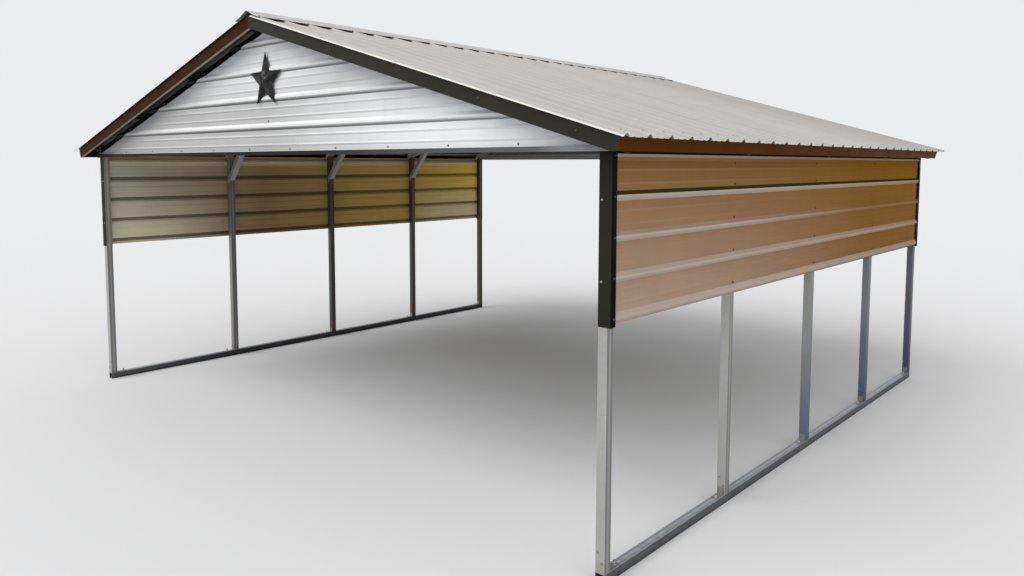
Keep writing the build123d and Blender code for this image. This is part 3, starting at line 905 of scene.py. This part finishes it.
def weld_tree():
    """Weld beads along each row: overlapping ripples, each a little bigger or smaller at random."""
    tree, given = new_tree("weld_beads", {
        "Bead Width": ("NodeSocketFloat", 0.006),
        "Ripple Step": ("NodeSocketFloat", 0.0025),
        "Seed": ("NodeSocketInt", 0),
        "Material": ("NodeSocketMaterial", None),
    })
    lines = add_node(tree, "GeometryNodeMeshToCurve", {"Mesh": given["Geometry"]}).outputs[0]
    inputs = {"Curve": lines, "Length": given["Ripple Step"]}
    points = add_node(tree, "GeometryNodeResampleCurve", inputs, mode="LENGTH").outputs[0]
    facing = named_vector(tree, "facing")
    along = add_node(tree, "GeometryNodeInputTangent").outputs[0]
    turned = add_node(tree, "FunctionNodeAlignRotationToVector", {"Vector": facing}, axis="Z").outputs[0]
    inputs = {"Rotation": turned, "Vector": along}
    turned = add_node(tree, "FunctionNodeAlignRotationToVector", inputs, axis="X", pivot_axis="Z").outputs[0]
    chance = add_node(tree, "FunctionNodeRandomValue", {}, data_type="FLOAT_VECTOR")
    pick_socket(chance.inputs, "Min").default_value = (0.85, 0.85, 0.80)
    pick_socket(chance.inputs, "Max").default_value = (1.15, 1.10, 1.10)
    tree.links.new(given["Seed"], pick_socket(chance.inputs, "Seed"))
    ripple = add_node(tree, "GeometryNodeMeshUVSphere", {"Segments": 8, "Rings": 5, "Radius": 0.5}).outputs[0]
    size = add_node(tree, "ShaderNodeCombineXYZ", {
        "X": share_of(tree, given["Ripple Step"], 1.9),
        "Y": given["Bead Width"],
        "Z": share_of(tree, given["Bead Width"], 0.5),
    }).outputs[0]
    ripple = add_node(tree, "GeometryNodeTransform", {"Geometry": ripple, "Scale": size}).outputs[0]
    copies = add_node(tree, "GeometryNodeInstanceOnPoints", {
        "Points": points,
        "Instance": ripple,
        "Rotation": turned,
        "Scale": pick_socket(chance.outputs, "Value"),
    }).outputs[0]
    real = add_node(tree, "GeometryNodeRealizeInstances", {"Geometry": copies}).outputs[0]
    end_tree(tree, add_node(tree, "GeometryNodeSetMaterial", {
        "Geometry": real, "Material": given["Material"],
    }).outputs[0])
    return tree


def row_mesh(name, rows):
    """A mesh of one edge for each row, from its start, its end and the way that it faces."""
    mesh = bpy.data.meshes.new(name)
    points = [point for start, end, _ in rows for point in (start, end)]
    mesh.from_pydata(points, [(2 * i, 2 * i + 1) for i in range(len(rows))], [])
    facing = mesh.attributes.new("facing", "FLOAT_VECTOR", "POINT")
    facing.data.foreach_set("vector", [v for _, _, way in rows for _ in range(2) for v in way])
    return mesh


def grow(name, rows, tree, values):
    """Run a tree over rows and return the plain mesh object that it makes."""
    base = bpy.data.objects.new(name, row_mesh(f"{name}_rows", rows))
    bpy.context.scene.collection.objects.link(base)
    modifier = base.modifiers.new("tree", "NODES")
    modifier.node_group = tree
    labels = {item.name: item.identifier for item in tree.interface.items_tree if item.in_out == "INPUT"}
    for label, value in values.items():
        modifier[labels[label]] = value
    bpy.context.view_layer.update()
    evaluated = base.evaluated_get(bpy.context.evaluated_depsgraph_get())
    mesh = bpy.data.meshes.new_from_object(evaluated)
    base.modifiers.remove(modifier)
    bpy.data.objects.remove(base)
    if not mesh.polygons:
        raise RuntimeError(f"{name} came out empty")
    mesh.name = name
    for attribute in [a.name for a in mesh.attributes if a.name in ("facing", "washer", "stud")]:
        mesh.attributes.remove(mesh.attributes[attribute])
    piece = bpy.data.objects.new(name, mesh)
    bpy.context.scene.collection.objects.link(piece)
    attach(piece, "root")
    return piece


def grow_screws(context, name, rows, count, head, washer=None):
    """Rows of screws, all rows with the same count, on dark washers unless it says otherwise."""
    sizes = context.scene.carport_fasteners
    piece = grow(name, rows, shared_tree("screw_rows", screw_tree), {
        "Screws": count,
        "Head Across": sizes.head_across,
        "Head Height": sizes.head_height,
        "Washer Across": sizes.washer_across,
        "Washer Height": sizes.washer_height,
        "Seed": sizes.screw_seed,
        "Head Material": head,
        "Washer Material": washer or hardware("rubber_washer"),
    })


def grow_welds(context, name, rows):
    """Weld beads along rows."""
    sizes = context.scene.carport_fasteners
    piece = grow(name, rows, shared_tree("weld_beads", weld_tree), {
        "Bead Width": sizes.bead_width,
        "Ripple Step": sizes.ripple_step,
        "Seed": sizes.screw_seed,
        "Material": hardware("weld"),
    })


def shared_tree(name, make):
    """A tree that several pieces use."""
    return bpy.data.node_groups.get(name) or make()


def hardware(name, colour=None):
    """Finish of small hardware, made once for all that has it."""
    own, metallic, smooth, rough = HARDWARE[name]
    return bpy.data.materials.get(name) or plain_metal(name, colour or own, metallic, smooth, rough)


def dress(nodes, material):
    """Give CAD nodes a material."""
    for node in nodes:
        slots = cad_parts[node].material_slots
        if not slots:
            raise RuntimeError(f"{node} has no material slot")
        slots[0].material = material


def nodes_named(*starts):
    """CAD nodes whose names start so."""
    found = [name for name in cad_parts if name.startswith(starts)]
    if not found:
        raise RuntimeError(f"no node starts with {starts}")
    return found


def both_sides(rows):
    """Rows of the right side and their mirror images."""
    return [
        tuple((side * x, y, z) for x, y, z in row)
        for row in rows
        for side in SIDES
    ]


def both_ends(rows):
    """Rows of the front and their mirror images at the back."""
    return [
        tuple((x, way * y, z) for x, y, z in row)
        for row in rows
        for way in SIDES
    ]


def bare_faces(y):
    """Sides of a truss that no gable sheet covers."""
    return [way for way in SIDES if way * y < half_length - tube]


# Operators


class CARPORT_OT_tube_finish(bpy.types.Operator):
    """Give the tubes and channels their zinc"""

    bl_idname = "carport.tube_finish"
    bl_label = "Tube Finish"

    def execute(self, context):
        look = context.scene.carport_finishes
        zinc, channel, dirt = look.zinc, look.channel, look.dirt_height
        post = galvanised("zinc_post", zinc, (1, 1, 0.05), dirt, "trusses", painted_shade_posts)
        rail = galvanised("zinc_rail", look.rail_zinc, (1, 0.05, 1), dirt, "rails", painted_shade_rails)
        across = galvanised("zinc_rafter", zinc, (0.05, 1, 0.15), dirt, "trusses", painted_shade_tails)
        hat = galvanised("zinc_hat", channel, (1, 0.05, 1), dirt, painted_shade=painted_shade_ends)
        dress(nodes_named("post_"), post)
        dress(nodes_named("base_rail_"), rail)
        dress(nodes_named("anchor_clips_"), galvanised("zinc_clip", channel, (1, 0.3, 1), dirt))
        dress(nodes_named("rafters_", "peak_braces", "gable_header_", "gable_stud_"), across)
        dress(nodes_named("knee_braces_"), galvanised("zinc_knee", zinc, (0.3, 1, 0.3), dirt))
        dress(nodes_named("hat_channels_"), hat)
        return {"FINISHED"}


class CARPORT_OT_sheet_finish(bpy.types.Operator):
    """Paint the ribbed sheets and the ridge cap"""

    bl_idname = "carport.sheet_finish"
    bl_label = "Sheet Finish"

    def execute(self, context):
        look = context.scene.carport_finishes
        dress(nodes_named("roof_sheets_"), roof_coat(look, "roof_coat", look.backer))
        dress(["ridge_cap"], roof_coat(look, "cap_coat", look.roof, ribs=False))
        dress(nodes_named("side_panel_"), panel_coat(look))
        dress(nodes_named("gable_sheets_"), gable_coat(look))
        return {"FINISHED"}


class CARPORT_OT_trim_finish(bpy.types.Operator):
    """Paint the folded trims"""

    bl_idname = "carport.trim_finish"
    bl_label = "Trim Finish"

    def execute(self, context):
        look = context.scene.carport_finishes
        charcoal = look.charcoal
        corner = coated_trim("corner_coat", charcoal, look, 0.02, side_shade=0.12)
        base = coated_trim("base_trim_coat", charcoal, look, 0.03, pale_end=0.8)
        right_rake = coated_trim("right_rake_coat", charcoal, look, 0.10, lip=look.lip)
        left_rake = coated_trim("left_rake_coat", look.dark_brown, look, 0.01, lip=look.lip)
        eave = coated_trim("eave_coat", look.brown, look, 0.008, inner_shade=0.15)
        dress(nodes_named("corner_trim_"), corner)
        dress(nodes_named("gable_base_trim_"), base)
        dress(nodes_named("rake_trim_front_right", "rake_trim_back_right"), right_rake)
        dress(nodes_named("rake_trim_front_left", "rake_trim_back_left"), left_rake)
        dress(nodes_named("eave_trim_"), eave)
        return {"FINISHED"}


class CARPORT_OT_star_finish(bpy.types.Operator):
    """Give the gable star its rubbed cast finish"""

    bl_idname = "carport.star_finish"
    bl_label = "Star Finish"

    def execute(self, context):
        dress(["gable_star"], cast_star("star_cast", context.scene.carport_finishes.star))
        return {"FINISHED"}


class CARPORT_OT_roof_screws(bpy.types.Operator):
    """Screw the roof sheets and the ridge cap to the hat channels"""

    bl_idname = "carport.roof_screws"
    bl_label = "Roof Screws"

    def execute(self, context):
        head = hardware("roof_head", tone(context.scene.carport_finishes.roof, 0.80))
        slot, washer = "roof_sheet", hardware("grey_washer")
        rows = []
        for row in range(1, hat_rows):
            x = (hat_from_ridge + row * hat_step) * cos(pitch)
            z = roof_z(x, sheet_face_level)
            starts = [-last_rib_y + beside_rib]
            if row == hat_rows - 1:
                starts.append(-last_rib_y + rib_pitch - beside_rib)
            for start in starts:
                end = start + (roof_pitches - 1) * rib_pitch
                rows.append(((x, start, z), (x, end, z), roof_up(1)))
        grow_screws(context, "roof_screws", both_sides(rows), roof_pitches, head, washer)
        past_hat = 0.014
        cap_x = (hat_from_ridge + past_hat) * cos(pitch)
        cap_z = roof_z(cap_x, cap_face_level)
        rows = [((cap_x, -last_rib_y, cap_z), (cap_x, last_rib_y, cap_z), roof_up(1))]
        every_other_rib = roof_pitches // 2 + 1
        grow_screws(context, "ridge_cap_screws", both_sides(rows), every_other_rib, head, washer)
        return {"FINISHED"}


class CARPORT_OT_wall_screws(bpy.types.Operator):
    """Screw the side panels and gable sheets to the frame"""

    bl_idname = "carport.wall_screws"
    bl_label = "Wall Screws"

    def execute(self, context):
        heights = [panel_start + i * rib_pitch + beside_rib for i in range(panel_pitches)]
        heights.append(panel_start + panel_pitches * rib_pitch - beside_rib)
        posts = [((panel_face, truss_y[1], z), (panel_face, truss_y[-2], z), (1, 0, 0)) for z in heights]
        inner_posts = post_count - 2
        brown = hardware("panel_head")
        grow_screws(context, "panel_screws", both_sides(posts), inner_posts, brown)
        white = hardware("gable_head")
        levels = [gable_start + i * rib_pitch + beside_rib for i in range(4)]
        end_x = 2.7
        header = both_ends([((-end_x, gable_face, levels[0]), (end_x, gable_face, levels[0]), (0, -1, 0))])
        grow_screws(context, "gable_header_screws", header, 10, white)
        stud = both_ends([((0, gable_face, levels[1]), (0, gable_face, levels[3]), (0, -1, 0))])
        grow_screws(context, "gable_stud_screws", stud, 3, white)
        rafter_middle = tube / 2 / cos(pitch)
        low_x, high_x = (half_width - (levels[i] - post_top - rafter_middle) / roof_slope for i in (0, 3))
        rake = [((low_x, gable_face, levels[0]), (high_x, gable_face, levels[3]), (0, -1, 0))]
        grow_screws(context, "gable_rake_screws", both_ends(both_sides(rake)), 4, white)
        return {"FINISHED"}


class CARPORT_OT_trim_screws(bpy.types.Operator):
    """Screw the trims to what they cover"""

    bl_idname = "carport.trim_screws"
    bl_label = "Trim Screws"

    def execute(self, context):
        corner_low, corner_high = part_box("corner_trim_front_right")
        front_y = corner_low.y
        corner_x = (half_width + inner_x) / 2 - 0.010
        low_z, high_z = 1.754, 2.213
        corner = [((corner_x, front_y, low_z), (corner_x, front_y, high_z), (0, -1, 0))]
        corners = both_ends(both_sides(corner))
        grow_screws(context, "corner_screws", corners, 2, hardware("zinc_head"))
        flange_x = corner_high.x
        flange_y = -half_length + 0.028
        flange = [((flange_x, flange_y, panel_start), (flange_x, flange_y, panel_top_rib), (1, 0, 0))]
        flanges = both_ends(both_sides(flange))
        every_rib = panel_pitches + 1
        dark = hardware("dark_head")
        grow_screws(context, "corner_flange_screws", flanges, every_rib, dark)
        rake_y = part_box("rake_trim_front_right")[0].y
        near_ridge, near_eave = 0.35, 3.25
        start, end = ((x, rake_y, roof_z(x, rake_middle_level)) for x in (near_ridge, near_eave))
        rake = both_ends([(start, end, (0, -1, 0))])
        left_rake = [tuple((-x, y, z) for x, y, z in row) for row in rake]
        grow_screws(context, "right_rake_screws", rake, 5, hardware("rake_head"))
        grow_screws(context, "left_rake_screws", left_rake, 5, hardware("left_rake_head"))
        x, z = on_slope(fascia_far, rake_high_level - fascia_face / 2)
        eave = both_sides([((x, truss_y[0], z), (x, truss_y[-1], z), (cos(pitch), 0, -sin(pitch)))])
        grow_screws(context, "eave_screws", eave, post_count, hardware("fascia_head"))
        return {"FINISHED"}


class CARPORT_OT_frame_screws(bpy.types.Operator):
    """Screw the knee braces and the feet of the posts"""

    bl_idname = "carport.frame_screws"
    bl_label = "Frame Screws"

    def execute(self, context):
        knee_low, knee_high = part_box("knee_braces_right")
        ear_y = knee_high.y - truss_y[-2]
        foot_x = inner_x + 0.022
        head_x = knee_low.x + 0.055
        foot_z = knee_low.z + 0.062
        head_z = roof_z(head_x, 0.024)
        across = 0.011
        rows = []
        for y in truss_y[1:-1]:
            for way in SIDES:
                ear = y + way * ear_y
                for x, z in ((foot_x, foot_z), (head_x, head_z)):
                    rows.append(((x - across, ear, z - across), (x + across, ear, z + across), (0, way, 0)))
        bright = hardware("zinc_head")
        grow_screws(context, "knee_screws", both_sides(rows), 2, bright, bright)
        rows = []
        high_x, high_z = post_x - 0.014, 0.186
        low_x, low_z = post_x + 0.014, 0.127
        for y in truss_y:
            for way in SIDES:
                face = y + way * tube / 2
                rows.append(((high_x, face, high_z), (low_x, face, low_z), (0, way, 0)))
        dull = hardware("foot_head")
        grow_screws(context, "post_foot_screws", both_sides(rows), 2, dull, dull)
        return {"FINISHED"}


class CARPORT_OT_anchors(bpy.types.Operator):
    """Anchor each clip and the rail under it to the ground"""

    bl_idname = "carport.anchors"
    bl_label = "Anchors"

    def execute(self, context):
        sizes = context.scene.carport_fasteners
        rows = [((post_x, y, clip_top), (-post_x, y, clip_top), (0, 0, 1)) for y in anchor_y]
        piece = grow("anchor_nuts", rows, shared_tree("anchor_rows", anchor_tree), {
            "Anchors": 2,
            "Nut Across": sizes.nut_across,
            "Nut Height": sizes.nut_height,
            "Stud Across": sizes.stud_across,
            "Stud Height": sizes.stud_height,
            "Seed": sizes.screw_seed,
            "Nut Material": hardware("zinc_head"),
            "Stud Material": hardware("stud_zinc"),
        })
        return {"FINISHED"}


class CARPORT_OT_welds(bpy.types.Operator):
    """Weld the rafters at the ridge, on the posts and to the peak braces"""

    bl_idname = "carport.welds"
    bl_label = "Welds"

    def execute(self, context):
        rows = []
        half = tube / 2
        short = half - 0.007  # the beads stop short of the rounded corners
        low, high = roof_z(0), roof_z(0, tube)
        for y in truss_y:
            for way in bare_faces(y):
                face = y + way * half
                rows.append(((0, face, low), (0, face, high), (0, way, 0)))
                for side in SIDES:
                    ends = [(side * x, face, roof_z(x)) for x in (inner_x, half_width)]
                    rows.append((ends[0], ends[1], (0, way, 0)))
            rows.append(((0, y - short, low), (0, y + short, low), (0, 0, -1)))
        brace_low, brace_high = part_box("peak_braces")
        brace_top_x = half_width - (brace_high.z - post_top) / roof_slope
        for y in truss_y[1:-1]:
            for way in SIDES:
                face = y + way * half
                for side in SIDES:
                    start = (side * brace_high.x, face, brace_low.z)
                    rows.append((start, (side * brace_top_x, face, brace_high.z), (0, way, 0)))
        stud_z = post_top + tube
        for y in (truss_y[0], truss_y[-1]):
            for side in SIDES:
                x = side * inner_x
                rows.append(((x, y - short, post_top), (x, y + short, post_top), (-side, 0, -1)))
            for way in bare_faces(y):
                edge = y + way * half
                rows.append(((half, edge, stud_z), (-half, edge, stud_z), (0, way, 1)))
        grow_welds(context, "frame_welds", rows)
        return {"FINISHED"}


class CARPORT_OT_studio(bpy.types.Operator):
    """Make the floor, the backdrop, the lamps and the camera"""

    bl_idname = "carport.studio"
    bl_label = "Studio"

    def execute(self, context):
        look = context.scene.carport_studio
        context.scene.view_settings.view_transform = "Standard"
        self.floor(look)
        self.world(context, look)
        self.lamp("key", look.key_light, (-0.15, -0.85, 0.85))
        self.lamp("fill", look.fill_light, (0.95, -0.25, 0.55))
        self.camera(context, look)
        return {"FINISHED"}

    def floor(self, look):
        """A pale floor that runs into the backdrop's colour far out."""
        size = 300.0
        below = 0.0006
        mesh = bpy.data.meshes.new("studio_floor")
        corners = [(-size, -size, -below), (size, -size, -below), (size, size, -below), (-size, size, -below)]
        mesh.from_pydata(corners, [], [(0, 1, 2, 3)])
        floor = bpy.data.objects.new("studio_floor", mesh)
        bpy.context.scene.collection.objects.link(floor)
        material = bpy.data.materials.new("studio_floor")
        material.use_nodes = True
        tree = material.node_tree
        shader = tree.nodes["Principled BSDF"]
        shader.inputs["Roughness"].default_value = 0.9
        shader.inputs["Specular IOR Level"].default_value = 0.1
        shown = blend(tree, seen_directly(tree), look.floor_bounce, look.floor)
        tree.links.new(shown, shader.inputs["Base Color"])
        place = add_node(tree, "ShaderNodeTexCoord").outputs["Object"]
        distance = add_node(tree, "ShaderNodeVectorMath", {0: place}, operation="LENGTH").outputs["Value"]
        fade_start, fade_end = 8.0, 30.0
        far = remap(tree, distance, fade_start, fade_end)
        glow = add_node(tree, "ShaderNodeEmission", {"Color": (*look.backdrop, 1), "Strength": 1.0})
        mixed = add_node(tree, "ShaderNodeMixShader", {0: far, 1: shader.outputs[0], 2: glow.outputs[0]})
        tree.links.new(mixed.outputs[0], tree.nodes["Material Output"].inputs["Surface"])
        mesh.materials.append(material)

    def world(self, context, look):
        """Even light, and a plain backdrop for what is seen, mirrored or seen through."""
        world = bpy.data.worlds.new("studio")
        context.scene.world = world
        world.use_nodes = True
        tree = world.node_tree
        light = tree.nodes["Background"]
        light.inputs["Color"].default_value = (1.0, 1.0, 1.0, 1)
        light.inputs["Strength"].default_value = look.room_light
        backdrop = add_node(tree, "ShaderNodeBackground", {"Color": (*look.backdrop, 1), "Strength": 1.0})
        seen = seen_directly(tree)
        mixed = add_node(tree, "ShaderNodeMixShader", {0: seen, 1: light.outputs[0], 2: backdrop.outputs[0]})
        tree.links.new(mixed.outputs[0], tree.nodes["World Output"].inputs["Surface"])

    def lamp(self, name, strength, way):
        """A soft lamp far away, which looks at the carport from one way."""
        distance = 12
        data = bpy.data.lights.new(f"{name}_lamp", "SUN")
        data.energy = strength
        data.angle = radians(60)
        lamp = bpy.data.objects.new(f"{name}_lamp", data)
        lamp.location = Vector(way) * distance
        lamp.rotation_euler = Vector(way).to_track_quat("Z", "Y").to_euler()
        bpy.context.scene.collection.objects.link(lamp)

    def camera(self, context, look):
        """The camera of the photograph, with the shift that its framing needs."""
        data = bpy.data.cameras.new("camera")
        data.sensor_width = 36.0
        data.lens = look.focal_pixels / look.image_width * data.sensor_width
        data.shift_x = (look.image_width / 2 - look.centre_across) / look.image_width
        data.shift_y = (look.centre_down - look.image_height / 2) / look.image_width
        data.clip_start, data.clip_end = 0.05, 800.0
        camera = bpy.data.objects.new("camera", data)
        bpy.context.scene.collection.objects.link(camera)
        turn = Euler((pi / 2 + look.camera_tilt, 0, look.camera_yaw)).to_matrix()
        turn = turn @ Matrix.Rotation(look.camera_roll, 3, "Z")
        camera.matrix_world = Matrix.Translation(look.camera_place) @ turn.to_4x4()
        context.scene.camera = camera


class CARPORT_PT_panel(bpy.types.Panel):
    """Lists the pieces and their settings"""

    bl_idname = "CARPORT_PT_panel"
    bl_label = "Carport"
    bl_space_type = "VIEW_3D"
    bl_region_type = "UI"
    bl_category = "Carport"

    def draw(self, context):
        layout = self.layout
        for operator in OPERATORS:
            layout.operator(operator.bl_idname)
        for title, settings in (
            ("Finishes", context.scene.carport_finishes),
            ("Fasteners", context.scene.carport_fasteners),
            ("Studio", context.scene.carport_studio),
        ):
            box = layout.box()
            box.label(text=title)
            for name in settings.__annotations__:
                box.prop(settings, name)


OPERATORS = (
    CARPORT_OT_tube_finish,
    CARPORT_OT_sheet_finish,
    CARPORT_OT_trim_finish,
    CARPORT_OT_star_finish,
    CARPORT_OT_roof_screws,
    CARPORT_OT_wall_screws,
    CARPORT_OT_trim_screws,
    CARPORT_OT_frame_screws,
    CARPORT_OT_anchors,
    CARPORT_OT_welds,
    CARPORT_OT_studio,
)
SETTINGS = {
    "carport_finishes": CARPORT_PG_finishes,
    "carport_fasteners": CARPORT_PG_fasteners,
    "carport_studio": CARPORT_PG_studio,
}


def register():
    """Register the settings, the operators and the panel."""
    for name, settings in SETTINGS.items():
        bpy.utils.register_class(settings)
        setattr(bpy.types.Scene, name, PointerProperty(type=settings))
    for operator in OPERATORS:
        bpy.utils.register_class(operator)
    bpy.utils.register_class(CARPORT_PT_panel)


def unregister():
    """Take them off again."""
    bpy.utils.unregister_class(CARPORT_PT_panel)
    for operator in reversed(OPERATORS):
        bpy.utils.unregister_class(operator)
    for name, settings in SETTINGS.items():
        delattr(bpy.types.Scene, name)
        bpy.utils.unregister_class(settings)


def main():
    """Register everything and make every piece."""
    register()
    for operator in OPERATORS:
        group, name = operator.bl_idname.split(".")
        getattr(getattr(bpy.ops, group), name)()
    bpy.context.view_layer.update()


if __name__ == "__main__":
    main()
